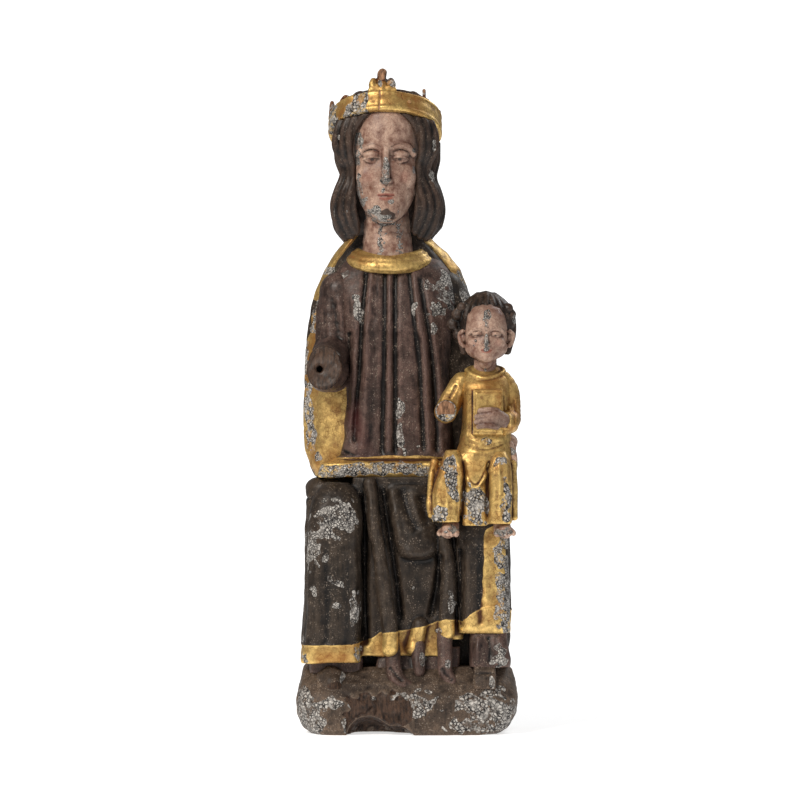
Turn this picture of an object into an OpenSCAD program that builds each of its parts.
// Seated mother and child, a carved and painted wooden group joined from blocks with dowels.
// Millimetres. +Z is up, the group faces -Y, and +X is the mother's left hand side.
// The origin is the middle of the plinth's underside.

/* [Plinth] */
// Width of the plinth, side to side
plinth_w = 242; // [236:1:246]
// Depth of the plinth, front to back
plinth_d = 180; // [176:1:184]
// Height of the plinth's level top, which the seat and skirts stand on
plinth_h = 72; // [68:1:74]
// Height at which the ground starts to slope up from the plinth's front edge
ground_edge_z = 42; // [36:1:48]

/* [Mother] */
// Height of the seat, where the chest block stands on the bench
seat_z = 278; // [274:1:280]
// How far the mother's head and neck stand off the plinth's middle
neck_x = -22; // [-24:1:-20]
// Width of the bench, side to side
bench_w = 226; // [220:1:230]
// Radius of the sleeve's end, where the lost forearm was joined on
sleeve_r = 20; // [18:0.5:21]
// Radius of the dowel hole in the sleeve's end
dowel_hole_r = 4; // [3:0.5:5]
// Depth of the dowel hole in the sleeve's end
dowel_hole_depth = 30; // [24:1:34]

/* [Crown] */
// Outer radius of the crown's band
crown_r = 63; // [62:0.5:65]
// Height of the crown's band
crown_h = 24; // [20:1:28]
// How far the crown is tipped back on the head, in degrees
crown_tilt = 24; // [20:1:26]

/* [Child] */
// How far the child sits off the plinth's middle
child_x = 85; // [82:1:86]
// Height of the child's seat on the mother's knee
child_seat_z = 288; // [286:1:292]
// Radius of the stump where the child's right hand was joined on
wrist_r = 11; // [8:0.5:11.5]

/* [Hidden] */
$fn = 32;

thin = 0.5;           // thickness of a loft's slices
snug = 0.2;           // room left around a true round that sits in a carved seat
back_y = 92;          // plane of the back board's outer face
board_t = 14;         // thickness of the back board
seam_y = -14;         // plane where the skirts' block is glued to the bench
leaf_t = 7;           // thickness of the crown's leaves
dowel_r = 6;          // dowels that join the large blocks
peg_r = 3;            // dowels that join the small pieces
nail_r = 1.6;         // shanks of the back board's nails
hole_offset = 5;      // how far the sleeve's dowel hole stands off its middle, to the outer side

walnut = "#4a3427";
umber = "#2e2621";
plum = "#3b2c2a";
oxblood = "#4d3531";
gold = "#b98a2d";
flesh = "#8d6a5b";
dark_hair = "#2a211d";
raw_wood = "#a67b50";
iron = "#3a3633";

// ---------- shared shapes ----------

// One thin slice of a rounded body: row = [z, x0, x1, y0, y1, corner radius].
module slice(row) {
    w = row[2] - row[1];
    d = row[4] - row[3];
    r = min(row[5], w / 2 - 0.5, d / 2 - 0.5);
    translate([(row[1] + row[2]) / 2, (row[3] + row[4]) / 2, row[0]])
        linear_extrude(thin) offset(r, $fn = 20) square([w - 2 * r, d - 2 * r], center = true);
}

// A body that runs smoothly through its slices, from the lowest up.
module loft(rows) {
    for (i = [0 : len(rows) - 2])
        hull() {
            slice(rows[i]);
            slice(rows[i + 1]);
        }
}

// A carved ridge or limb of round section: each point = [x, y, z, radius].
module ridge(points) {
    for (i = [0 : len(points) - 2])
        hull() {
            translate([for (k = [0 : 2]) points[i][k]]) sphere(points[i][3], $fn = 10);
            translate([for (k = [0 : 2]) points[i + 1][k]]) sphere(points[i + 1][3], $fn = 10);
        }
}

// Turns +Z onto the line from one point to another, at the first point.
module along(a, b) {
    v = b - a;
    translate(a)
        rotate([0, acos(v[2] / norm(v)), atan2(v[1], v[0])])
            children();
}

// A true round bar, or a cone, between two points.
module bar(a, b, r1, r2) {
    along(a, b) cylinder(h = norm(b - a), r1 = r1, r2 = r2);
}

// ---------- plinth ----------

module plinth_plan(corner = 26) {
    x = plinth_w / 2 - corner;
    y0 = -plinth_d / 2 + corner;
    y1 = plinth_d / 2 - corner;
    square([2 * x, plinth_d], center = true);
    square([plinth_w, y1 - y0], center = true);
    for (p = [[-x, y0], [x, y0], [-x, y1], [x, y1]]) translate(p) circle(corner);
}

// Seen from the side: an upright front edge, then ground that slopes up to the level top.
module plinth_side() {
    half = plinth_d / 2;
    polygon([
        [-half + 5, 0], [-half, 6], [-half, ground_edge_z - 6], [-half + 3, ground_edge_z],
        [-half + 26, plinth_h], [half, plinth_h], [half, 0]
    ]);
}

// Seen from the front: the lower corners are worn round and the upper ones run in a little.
module plinth_front() {
    half = plinth_w / 2;
    polygon([
        [-half + 20, 0], [-half + 7, 6], [-half, 22], [-half, 44], [-half + 5, plinth_h],
        [half - 8, plinth_h], [half, 58], [half, 26], [half - 7, 10], [half - 22, 0]
    ]);
}

// The rotted hollow broken out of the front foot.
module plinth_break() {
    translate([-41, -plinth_d / 2 - 1, -1]) rotate([-90, 0, 0])
        linear_extrude(58)
            polygon([[-18, 0], [-9, -13], [-2, -17], [7, -11], [19, -7], [34, -5], [40, 0]]);
}

module plinth_body() {
    intersection() {
        linear_extrude(plinth_h) plinth_plan();
        translate([-plinth_w / 2, 0, 0]) rotate([90, 0, 90]) linear_extrude(plinth_w) plinth_side();
        translate([0, plinth_d / 2, 0]) rotate([90, 0, 0]) linear_extrude(plinth_d) plinth_front();
    }
}

module plinth() color(walnut) difference() {
    plinth_body();
    plinth_break();
    for (p = trunk_dowel_feet) translate([p[0], p[1], plinth_h - 30]) cylinder(h = 40, r = dowel_r + snug);
}

// ---------- hollow trunk ----------

trunk_dowel_feet = [[-85, 66, 0], [85, 66, 0], [-85, 10, 0], [85, 10, 0]];
trunk_dowel_tops = [[-80, 30, 0], [62, 30, 0]];

// The trunk is cut hollow from behind, so that the log doesn't split as it dries.
module trunk_hollow() {
    loft([
        [plinth_h + 24, -46, 16, 38, back_y + 2, 12],
        [seat_z + 60, -46, 16, 38, back_y + 2, 12],
        [450, -42, 10, 42, back_y + 2, 12],
        [474, -32, 0, 52, back_y + 2, 10]
    ]);
}

module board_outline() {
    polygon([
        [-64, plinth_h + 2], [34, plinth_h + 2], [32, 400], [22, 466],
        [4, 498], [-42, 498], [-58, 466], [-64, 400]
    ]);
}

module board_seat(grow = 0) {
    translate([0, back_y + grow, 0]) rotate([90, 0, 0])
        linear_extrude(board_t + grow) offset(delta = grow) board_outline();
}

module back_board() color(walnut) difference() {
    translate([0, back_y, 0]) rotate([90, 0, 0]) linear_extrude(board_t) board_outline();
    for (p = nail_places)
        translate([p[0], back_y + 4, p[1]]) rotate([90, 0, 0]) cylinder(h = 40, r = nail_r + 0.1);
}

nail_places = [
    [-55, 88], [25, 88], [-55, 190], [25, 190], [-55, 300],
    [25, 300], [-55, 400], [24, 400], [-38, 486], [0, 486]
];

module nail(p) {
    translate([p[0], back_y, p[1]]) rotate([90, 0, 0]) cylinder(h = 34, r = nail_r);
    translate([p[0], back_y + 2, p[1]]) rotate([90, 0, 0]) cylinder(h = 2, r = 5);
}

module nail_holes() {
    for (p = nail_places)
        translate([p[0], back_y, p[1]]) rotate([90, 0, 0]) cylinder(h = 35, r = nail_r + 0.2, $fn = 16);
}

module back_board_nails() color(iron) for (p = nail_places) nail(p);

// ---------- bench ----------

module bench_form() {
    half = bench_w / 2;
    loft([
        [plinth_h, -half + 6, half - 4, seam_y, back_y - 4, 8],
        [plinth_h + 30, -half + 3, half - 2, seam_y, back_y - 2, 8],
        [130, -half + 2, half, seam_y, back_y - 2, 8],
        [200, -half + 1, half, seam_y, back_y, 8],
        [seat_z - 22, -half + 1, half - 2, seam_y, back_y, 8],
        [seat_z - 8, -half + 2, half - 6, seam_y, back_y, 8],
        [seat_z - 2, -half + 7, half - 12, seam_y + 3, back_y - 2, 8],
        [seat_z, -half + 12, half - 16, seam_y + 5, back_y - 4, 8],
        [seat_z + thin, -half + 12, half - 16, seam_y + 5, back_y - 4, 8]
    ]);
}

module bench() color(umber) difference() {
    intersection() {
        bench_form();
        translate([-200, seam_y, plinth_h]) cube([400, 200, seat_z - plinth_h]);
    }
    trunk_hollow();
    board_seat(thin);
    nail_holes();
    all_dowel_holes();
}

// ---------- skirts over the knees ----------

knee_z = seat_z - 6;

// The mother's right leg under its cloth: a broad round-topped column.
module right_knee() {
    loft([
        [80, -117, -48, -78, seam_y, 16],
        [150, -114, -48, -77, seam_y, 18],
        [210, -111, -48, -76, seam_y, 20],
        [knee_z - 26, -108, -49, -74, seam_y, 22],
        [knee_z - 10, -104, -52, -68, seam_y, 22],
        [knee_z - 2, -97, -60, -58, seam_y, 16],
        [knee_z, -92, -66, -50, seam_y, 12]
    ]);
}

// Her left leg, on which the child sits.
module left_knee() {
    loft([
        [112, 56, 113, -68, seam_y, 16],
        [170, 54, 111, -68, seam_y, 18],
        [230, 50, 109, -66, seam_y, 20],
        [knee_z - 8, 44, 107, -64, seam_y, 20],
        [child_seat_z - thin, 46, 104, -58, seam_y, 14]
    ]);
}

// The cloth stretched between the knees, with the long folds that hang from the lap.
module lap_cloth() {
    loft([
        [86, -56, 66, -56, seam_y, 8],
        [180, -56, 66, -52, seam_y, 8],
        [knee_z - 4, -56, 60, -48, seam_y, 8]
    ]);
    ridge([[-35, -50, 268, 8], [-29, -56, 200, 9], [-16, -62, 130, 9], [-10, -63, 98, 10]]);
    ridge([[8, -54, 98, 9], [4, -50, 150, 7]]);
    ridge([[40, -52, 210, 8], [43, -60, 150, 10], [45, -62, 116, 10]]);
    hull() {
        translate([4, -46, 262]) scale([1, 0.6, 1]) sphere(16, $fn = 16);
        translate([14, -50, 204]) scale([1.5, 0.6, 0.7]) sphere(15, $fn = 16);
    }
}

module skirts_form() {
    intersection() {
        union() {
            right_knee();
            left_knee();
            lap_cloth();
        }
        translate([-200, -200, 0]) cube([400, 200 + seam_y, 400]);
    }
}

module skirts() color(umber) difference() {
    skirts_form();
    all_dowel_holes();
}

// ---------- ends of the under-tunic, and shoes ----------

module tunic_folds_form() {
    ridge([[-12, -62, 88, 8], [-10, -68, 72, 9], [-4, -72, 60, 8]]);
    ridge([[12, -60, 88, 8], [13, -66, 70, 8]]);
    ridge([[44, -62, 110, 9], [44, -66, 78, 9], [50, -70, 66, 9]]);
    loft([
        [plinth_h - 14, -50, 56, -74, -40, 6],
        [plinth_h - 2, -46, 54, -68, -40, 6],
        [plinth_h + 16, -44, 66, -54, -40, 6]
    ]);
    loft([
        [78, 66, 114, -74, -20, 8],
        [96, 68, 110, -70, -20, 8],
        [112, 70, 108, -64, -20, 8]
    ]);
    loft([
        [plinth_h, -108, -46, -62, -20, 8],
        [81, -108, -46, -62, -20, 8]
    ]);
}

module tunic_folds() color(oxblood) difference() {
    tunic_folds_form();
    plinth_body();
    skirts_form();
    shoes_form();
    bench_form();
}

module shoes_form() {
    hull() {
        translate([-82, -64, 62]) scale([1.05, 0.9, 1]) sphere(15, $fn = 20);
        translate([-82, -74, 52]) scale([1, 0.8, 0.6]) sphere(13, $fn = 20);
    }
    hull() {
        translate([84, -58, 66]) cube([26, 18, 24], center = true);
        translate([84, -74, 58]) cube([22, 8, 14], center = true);
    }
}

module shoes() color(oxblood) difference() {
    shoes_form();
    plinth_body();
}

// ---------- chest: gown, mantle, collar ----------

// The block of the chest, from the seat up to the slope of the shoulders.
module gown_form() {
    loft([
        [seat_z, -96, 52, -30, 60, 14],
        [seat_z + 8, -98, 54, -34, 60, 14],
        [seat_z + 18, -92, 54, -32, 60, 16],
        [seat_z + 24, -80, 52, -28, 60, 22],
        [340, -76, 50, -27, 60, 26],
        [400, -72, 46, -26, 60, 30],
        [450, -80, 50, -24, 60, 30],
        [488, -84, 52, -18, 60, 30],
        [506, -76, 46, -12, 58, 28],
        [518, -64, 30, 4, 54, 22]
    ]);
    ridge([[-42, -20, 486, 4], [-43, -25, 400, 5], [-48, -26, 310, 5]]);
    ridge([[-21, -20, 488, 5], [-20, -26, 400, 6], [-19, -27, 304, 6]]);
    ridge([[6, -18, 484, 4], [16, -24, 400, 5], [26, -26, 310, 5]]);
}

module mantle_form() {
    loft([
        [seat_z, -100, 100, -8, back_y - 4, 30],
        [300, -111, 102, -10, back_y - 2, 34],
        [345, -113, 100, -10, back_y, 36],
        [400, -111, 90, -10, back_y, 38],
        [450, -106, 78, -8, back_y, 38],
        [484, -98, 64, -4, back_y - 2, 38],
        [508, -91, 58, 2, back_y - 6, 34],
        [526, -82, 44, 8, back_y - 12, 28],
        [542, -69, 29, 12, back_y - 18, 24],
        [558, -52, 10, 16, back_y - 24, 18]
    ]);
}

module collar_form() {
    translate([neck_x + 5, 14, 523]) rotate([40, 0, 0]) scale([1, 0.82, 1])
        cylinder(h = 15, r1 = 55, r2 = 44, center = true, $fn = 48);
}

module gown_front() color(plum) difference() {
    gown_form();
    trunk_hollow();
    collar_form();
    head_form();
    right_arm_form(snug);
    left_arm_form();
    child_block();
    board_seat(thin);
    all_dowel_holes();
}

module mantle() color(gold) difference() {
    mantle_form();
    gown_form();
    trunk_hollow();
    collar_form();
    head_form();
    right_arm_form(snug);
    left_arm_form();
    child_block();
    board_seat(thin);
    nail_holes();
    all_dowel_holes();
}

module collar() color(gold) difference() {
    collar_form();
    head_form();
}

// ---------- the mother's arms ----------

shoulder = [-74, 12, 482];
elbow = [-80, 2, 389];
sleeve_end = [-91, -50, 397];
sleeve_dir = (sleeve_end - elbow) / norm(sleeve_end - elbow);
sleeve_side = cross(sleeve_dir, [0, 0, 1]) / norm(cross(sleeve_dir, [0, 0, 1]));
hole_mouth = sleeve_end + hole_offset * sleeve_side;

module right_arm_form(grow = 0) {
    bar(elbow, shoulder, 23 + grow, 24 + grow);
    translate(elbow) sphere(23.6 + grow);
    translate(shoulder) sphere(24.6 + grow);
    bar(elbow, sleeve_end, sleeve_r + 3 + grow, sleeve_r + grow);
}

// The sleeve's end is bored for the dowel that held the lost forearm.
module right_arm() color(plum) difference() {
    right_arm_form();
    bar(hole_mouth - dowel_hole_depth * sleeve_dir, hole_mouth + 5 * sleeve_dir, dowel_hole_r, dowel_hole_r);
    arm_dowel_holes();
}

module left_arm_form() {
    ridge([[42, 22, 484, 24], [72, 24, 430, 24], [80, 22, 372, 24], [92, 8, 326, 21], [107, -34, 313, 14]]);
    hull() {
        translate([86, 14, 350]) sphere(22, $fn = 12);
        translate([88, 0, 290]) sphere(18, $fn = 12);
        translate([96, -26, 300]) sphere(12, $fn = 12);
    }
}

module left_arm() color(umber) difference() {
    left_arm_form();
    translate([-200, -200, 0]) cube([400, 400, seat_z + thin]);
    left_knee();
    child_block();
    left_hand_form();
    arm_dowel_holes();
}

module left_hand_form() {
    ridge([[112, -36, 316, 8], [114, -50, 314, 7], [115, -62, 306, 4.5], [115, -68, 296, 4]]);
    ridge([[114, -50, 312, 6], [116, -58, 300, 4.5], [116, -62, 288, 4], [116, -62, 284, 3.5]]);
    ridge([[112, -42, 310, 6], [116, -48, 294, 4.5], [116, -52, 280, 4]]);
}

module left_hand() color(flesh) difference() {
    left_hand_form();
    child_block();
}

// ---------- the mother's head ----------

// The face and neck, let into the chest with a stub tenon.
module head_form() {
    translate([neck_x, 4, 634]) scale([37, 47, 68]) sphere(1, $fn = 28);
    translate([neck_x, -6, 604]) scale([33, 33, 44]) sphere(1, $fn = 24);
    hull() {
        translate([neck_x, 14, 590]) cylinder(h = 1, r = 25);
        translate([neck_x, 12, 502]) cylinder(h = 1, r = 28);
    }
    // nose, with its wings
    ridge([[neck_x, -38, 634, 4], [neck_x, -46, 606, 4.5], [neck_x, -43, 601, 4.5]]);
    ridge([[neck_x - 6, -38, 602, 3.5], [neck_x, -42, 603, 4], [neck_x + 6, -38, 602, 3.5]]);
    // brows, and eyes under them
    for (s = [-1, 1]) {
        ridge([
            [neck_x + s * 5, -37, 638, 4], [neck_x + s * 14, -36, 641, 4], [neck_x + s * 24, -29, 637, 4]
        ]);
        translate([neck_x + s * 14, -31, 628]) scale([9, 7, 5]) sphere(1, $fn = 12);
    }
    // lips
    ridge([[neck_x - 9, -34, 586, 2], [neck_x, -37, 587, 3.5], [neck_x + 9, -34, 586, 2]]);
    // chin
    translate([neck_x, -27, 571]) scale([12, 9, 9]) sphere(1, $fn = 14);
}

module hair_form() {
    difference() {
        loft([
            [534, -66, 24, 14, 74, 18],
            [544, -76, 34, 6, 76, 24],
            [556, -84, 42, 0, 76, 26],
            [575, -85, 44, -6, 76, 28],
            [590, -80, 40, -8, 76, 28],
            [608, -73, 32, -8, 74, 28],
            [628, -82, 38, -14, 76, 34],
            [656, -84, 38, -24, 78, 40],
            [682, -76, 30, -28, 76, 40],
            [700, -62, 16, -14, 66, 38],
            [708, -46, 2, 2, 52, 26]
        ]);
        translate([neck_x - 34, -80, 480]) cube([68, 88, 194]);
        translate([neck_x - 40, -80, 480]) cube([80, 90, 66]);
    }
}

module mother_head() color(flesh) difference() {
    head_form();
    neck_dowel_hole();
}

module mother_hair() color(dark_hair) difference() {
    hair_form();
    head_form();
    mantle_form();
    gown_form();
    collar_form();
    crown_space();
    peg_holes();
}

// ---------- crown ----------

crown_at = [-24, 18, 666];

module on_crown() {
    translate(crown_at) rotate([-crown_tilt, 0, 0]) children();
}

// Turns a leaf to its place on the band's rim; 0 is the front, and it goes round towards +X.
module on_rim(angle) {
    on_crown() rotate([0, 0, angle]) translate([0, -crown_r + leaf_t / 2 + 0.5, crown_h / 2]) children();
}

module crown_band() color(gold) difference() {
    on_crown() rotate_extrude($fn = 96)
        polygon([
            [crown_r - 8, -crown_h / 2], [crown_r - 1, -crown_h / 2], [crown_r, -crown_h / 2 + 3],
            [crown_r, crown_h / 2 - 3], [crown_r - 1, crown_h / 2], [crown_r - 8, crown_h / 2]
        ]);
    on_crown() for (a = peg_angles) rotate([0, 0, a]) translate([0, -crown_r + 2, 0]) rotate([90, 0, 0])
        translate([0, 0, -14]) cylinder(h = 24, r = peg_r - 0.9);
}

// What the hair and head give up for the band.
module crown_space() {
    on_crown() difference() {
        cylinder(h = crown_h + 2 * snug, r = crown_r + 20, center = true, $fn = 72);
        cylinder(h = crown_h + 4, r = crown_r - 8 - snug, center = true, $fn = 72);
    }
}

// The one leaf that is whole: a tall middle lobe between two short curled ones.
module crown_front_leaf() color(gold) on_rim(-3) {
    rotate([90, 0, 0]) linear_extrude(leaf_t, center = true) {
        translate([-13, 0]) square([26, 7]);
        translate([-10, 9]) circle(5.5);
        translate([10, 9]) circle(5.5);
        translate([-6, 0]) square([12, 19]);
        translate([0, 19]) circle(6.6);
    }
}

// Leaves broken down to stubs, and the one at the side that keeps its tip.
module crown_worn_leaves() color(gold) {
    on_rim(-93) rotate([90, 0, 0]) linear_extrude(leaf_t, center = true)
        polygon([[-8, 0], [-9, 8], [-4, 16], [0, 20], [5, 13], [8, 6], [7, 0]]);
    on_rim(-48) rotate([90, 0, 0]) linear_extrude(leaf_t - 1, center = true)
        polygon([[-9, 0], [-7, 4], [0, 6], [6, 3], [8, 0]]);
    on_rim(46) rotate([90, 0, 0]) linear_extrude(leaf_t - 3, center = true)
        polygon([[-7, 0], [-6, 2], [-2, 3], [-2, 11], [2, 12], [3, 3], [8, 0]]);
    on_rim(90) rotate([90, 0, 0]) linear_extrude(leaf_t - 1, center = true)
        polygon([[-8, 0], [-7, 4], [-1, 7], [5, 5], [8, 0]]);
    for (a = [135, 180, 225]) on_rim(a) rotate([90, 0, 0]) linear_extrude(leaf_t - 1, center = true)
        polygon([[-9, 0], [-8, 5], [-2, 9], [3, 6], [8, 4], [9, 0]]);
}

peg_angles = [25, 155, 205, 335];

module crown_pegs() color(raw_wood)
    on_crown() for (a = peg_angles) rotate([0, 0, a]) translate([0, -crown_r + 2, 0]) rotate([90, 0, 0])
        translate([0, 0, -13]) cylinder(h = 15, r = peg_r - 1);

module peg_holes() {
    on_crown() for (a = peg_angles) rotate([0, 0, a]) translate([0, -crown_r + 2, 0]) rotate([90, 0, 0])
        translate([0, 0, -14]) cylinder(h = 24, r = peg_r - 0.8, $fn = 16);
}

// ---------- child ----------

cx = child_x;
lap_x = child_x - 2;    // the child leans a little towards its own left

module child_body_form() {
    loft([
        [child_seat_z, cx - 34, cx + 30, -82, -22, 16],
        [child_seat_z + 14, cx - 34, cx + 30, -86, -22, 16],
        [child_seat_z + 28, cx - 28, cx + 28, -82, -22, 18],
        [338, cx - 25, cx + 28, -79, -22, 18],
        [360, cx - 25, cx + 28, -79, -22, 18],
        [384, cx - 28, cx + 28, -76, -24, 20],
        [394, cx - 24, cx + 24, -70, -28, 18],
        [403, cx - 16, cx + 17, -64, -32, 12]
    ]);
}

// The gown over the child's knees and shins, with the sunk fold between them.
module child_skirt_form() {
    loft([
        [234, lap_x - 50, lap_x - 20, -97, -56, 8],
        [262, lap_x - 46, lap_x - 19, -96, -56, 8],
        [298, lap_x - 42, lap_x - 14, -95, -56, 10],
        [312, lap_x - 38, lap_x - 18, -88, -62, 8]
    ]);
    loft([
        [234, lap_x + 5, lap_x + 35, -97, -56, 8],
        [262, lap_x + 7, lap_x + 33, -96, -56, 8],
        [298, lap_x + 7, lap_x + 34, -95, -56, 10],
        [312, lap_x + 11, lap_x + 32, -88, -62, 8]
    ]);
    loft([
        [228, lap_x - 24, lap_x + 10, -88, -56, 5],
        [266, lap_x - 24, lap_x + 12, -88, -56, 5],
        [296, lap_x - 30, lap_x + 18, -84, -56, 5]
    ]);
}

// Everything of the child that the mother's blocks are cut to receive.
module child_block() {
    child_body_form();
    child_skirt_form();
}

module child_body() color(gold) difference() {
    child_body_form();
    child_skirt_form();
    child_head_form();
    child_arm_form(snug);
    child_left_arm_form();
    book_form(thin);
    child_dowel_holes();
}

module child_gown_skirt() color(gold) difference() {
    child_skirt_form();
    skirts_form();
    gown_form();
}

module child_head_form() {
    translate([cx, -56, 436]) scale([25, 28, 33]) sphere(1, $fn = 24);
    translate([cx, -62, 422]) scale([20, 20, 21]) sphere(1, $fn = 20);
    ridge([[cx, -50, 412, 12], [cx, -48, 396, 13]]);
    // nose, with its wings
    ridge([[cx, -80, 436, 2.5], [cx, -84, 425, 3.2], [cx, -82, 422, 3]]);
    for (s = [-1, 1]) {
        // ears, brows, eyes and cheeks
        ridge([[cx + s * 25, -54, 434, 4], [cx + s * 27, -54, 426, 4], [cx + s * 24, -56, 420, 3]]);
        ridge([[cx + s * 4, -80, 438, 2.5], [cx + s * 15, -76, 438, 2.5]]);
        translate([cx + s * 9, -77, 431]) scale([5.5, 4, 3]) sphere(1, $fn = 12);
        ridge([[cx + s * 9, -74, 422, 7], [cx + s * 11, -72, 416, 6]]);
    }
    // lips
    ridge([[cx - 5, -79, 415, 1.6], [cx, -81, 415, 2.4], [cx + 5, -79, 415, 1.6]]);
}

module child_head() color(flesh) difference() {
    child_head_form();
    child_head_dowel_hole();
}

module child_hair() color(dark_hair) difference() {
    hull() {
        translate([cx, -45, 448]) scale([34, 32, 32]) sphere(1, $fn = 24);
        translate([cx, -33, 426]) scale([33, 17, 16]) sphere(1, $fn = 20);
    }
    child_head_form();
    translate([cx - 23.5, -120, 400]) cube([47, 61, 55]);
}

child_shoulder = [cx - 26, -52, 378];
stump = [cx - 43, -88, 352];
stump_dir = [0, -1, 0.12] / norm([0, -1, 0.12]);

// The child's right arm ends in a sawn face, where its hand was joined on.
module child_arm_form(grow = 0) {
    bar(stump - 26 * stump_dir, child_shoulder, 12 + grow, 12.5 + grow);
    translate(stump - 26 * stump_dir) sphere(12.9 + grow);
    translate(child_shoulder) sphere(13 + grow);
    bar(stump - 26 * stump_dir, stump, wrist_r + 1.5 + grow, wrist_r + grow);
}

module child_right_arm() color(gold) child_arm_form();

module child_left_arm_form() {
    ridge([[cx + 24, -50, 378, 13], [cx + 27, -54, 356, 12], [cx + 26.5, -66, 338, 12.5]]);
    ridge([[cx + 26.5, -66, 338, 12.5], [cx + 22, -80, 338, 11], [cx + 16, -84, 340, 9]]);
}

module child_left_arm() color(gold) difference() {
    child_left_arm_form();
    child_hand_form();
    book_form(thin);
    left_hand_form();
}

module child_hand_form() {
    ridge([[cx + 16, -90, 340, 8], [cx + 8, -92, 341, 8], [cx - 2, -92, 341, 6.5]]);
    for (i = [0 : 3])
        ridge([
            [cx + 6, -92, 346 - 4 * i, 3.6], [cx - 4, -93, 346 - 4 * i, 3.2], [cx - 10, -91, 345 - 4 * i, 2.8]
        ]);
}

module child_left_hand() color(flesh) difference() {
    child_hand_form();
    book_form(thin);
}

module book_form(grow = 0) {
    translate([cx + 2, -82, 350]) rotate([3, 0, 0])
        cube([34 + 2 * grow, 14 + 2 * grow, 46 + 2 * grow], center = true);
}

module child_book() color(gold) book_form();

module foot(x, turn) {
    translate([x, -76, 222]) rotate([0, 0, turn])
        hull() {
            scale([1, 1.2, 1]) sphere(9, $fn = 16);
            translate([-5, -12, -1]) sphere(7, $fn = 14);
            translate([6, -13, -1]) sphere(7, $fn = 14);
            translate([0, 0, 12]) sphere(8, $fn = 14);
        }
}

module child_feet_form() {
    foot(lap_x - 34, -8);
    foot(lap_x + 20, 8);
}

module child_feet() color(flesh) difference() {
    child_feet_form();
    child_skirt_form();
    skirts_form();
}

// ---------- dowels ----------

module neck_dowel() color(raw_wood) translate([neck_x, 14, 480]) cylinder(h = 60, r = dowel_r);
module neck_dowel_hole() translate([neck_x, 14, 479]) cylinder(h = 62, r = dowel_r + snug, $fn = 16);

module trunk_dowels() color(raw_wood) {
    for (p = trunk_dowel_feet) translate([p[0], p[1], plinth_h - 28]) cylinder(h = 56, r = dowel_r);
    for (p = trunk_dowel_tops) translate([p[0], p[1], seat_z - 28]) cylinder(h = 56, r = dowel_r);
}

skirt_dowel_places = [[-84, 130], [-84, 220], [88, 140], [88, 230]];

module skirt_dowels() color(raw_wood)
    for (p = skirt_dowel_places)
        translate([p[0], seam_y + 20, p[1]]) rotate([90, 0, 0]) cylinder(h = 40, r = dowel_r - 1);

module arm_dowels() color(raw_wood) {
    bar([-80, 16, 452], [-40, 16, 452], dowel_r - 1, dowel_r - 1);
    bar([28, 26, 440], [78, 26, 440], dowel_r - 1, dowel_r - 1);
}

module arm_dowel_holes() {
    bar([-81, 16, 452], [-39, 16, 452], dowel_r - 0.8, dowel_r - 0.8);
    bar([27, 26, 440], [79, 26, 440], dowel_r - 0.8, dowel_r - 0.8);
}

child_dowel_places = [[cx - 12, -38], [cx + 12, -38]];

module child_dowels() color(raw_wood) {
    for (p = child_dowel_places) translate([p[0], p[1], child_seat_z - 26]) cylinder(h = 46, r = peg_r + 1);
    translate([cx, -46, 384]) cylinder(h = 34, r = peg_r);
}

module child_dowel_holes() {
    for (p = child_dowel_places)
        translate([p[0], p[1], child_seat_z - 27]) cylinder(h = 48, r = peg_r + 1 + snug, $fn = 16);
    child_head_dowel_hole();
}

module child_head_dowel_hole() translate([cx, -46, 383]) cylinder(h = 36, r = peg_r + snug, $fn = 16);

module all_dowel_holes() {
    neck_dowel_hole();
    for (p = trunk_dowel_feet)
        translate([p[0], p[1], plinth_h - 30]) cylinder(h = 60, r = dowel_r + snug, $fn = 16);
    for (p = trunk_dowel_tops)
        translate([p[0], p[1], seat_z - 30]) cylinder(h = 60, r = dowel_r + snug, $fn = 16);
    for (p = skirt_dowel_places)
        translate([p[0], seam_y + 21, p[1]]) rotate([90, 0, 0]) cylinder(h = 42, r = dowel_r - 0.8, $fn = 16);
    arm_dowel_holes();
    child_dowel_holes();
}

// ---------- nodes ----------

plinth();
bench();
skirts();
tunic_folds();
shoes();
gown_front();
mantle();
collar();
right_arm();
left_arm();
left_hand();
mother_head();
mother_hair();
crown_band();
crown_front_leaf();
crown_worn_leaves();
child_body();
child_gown_skirt();
child_head();
child_hair();
child_right_arm();
child_left_arm();
child_left_hand();
child_book();
child_feet();
back_board();
back_board_nails();
trunk_dowels();
skirt_dowels();
arm_dowels();
child_dowels();
crown_pegs();
neck_dowel();
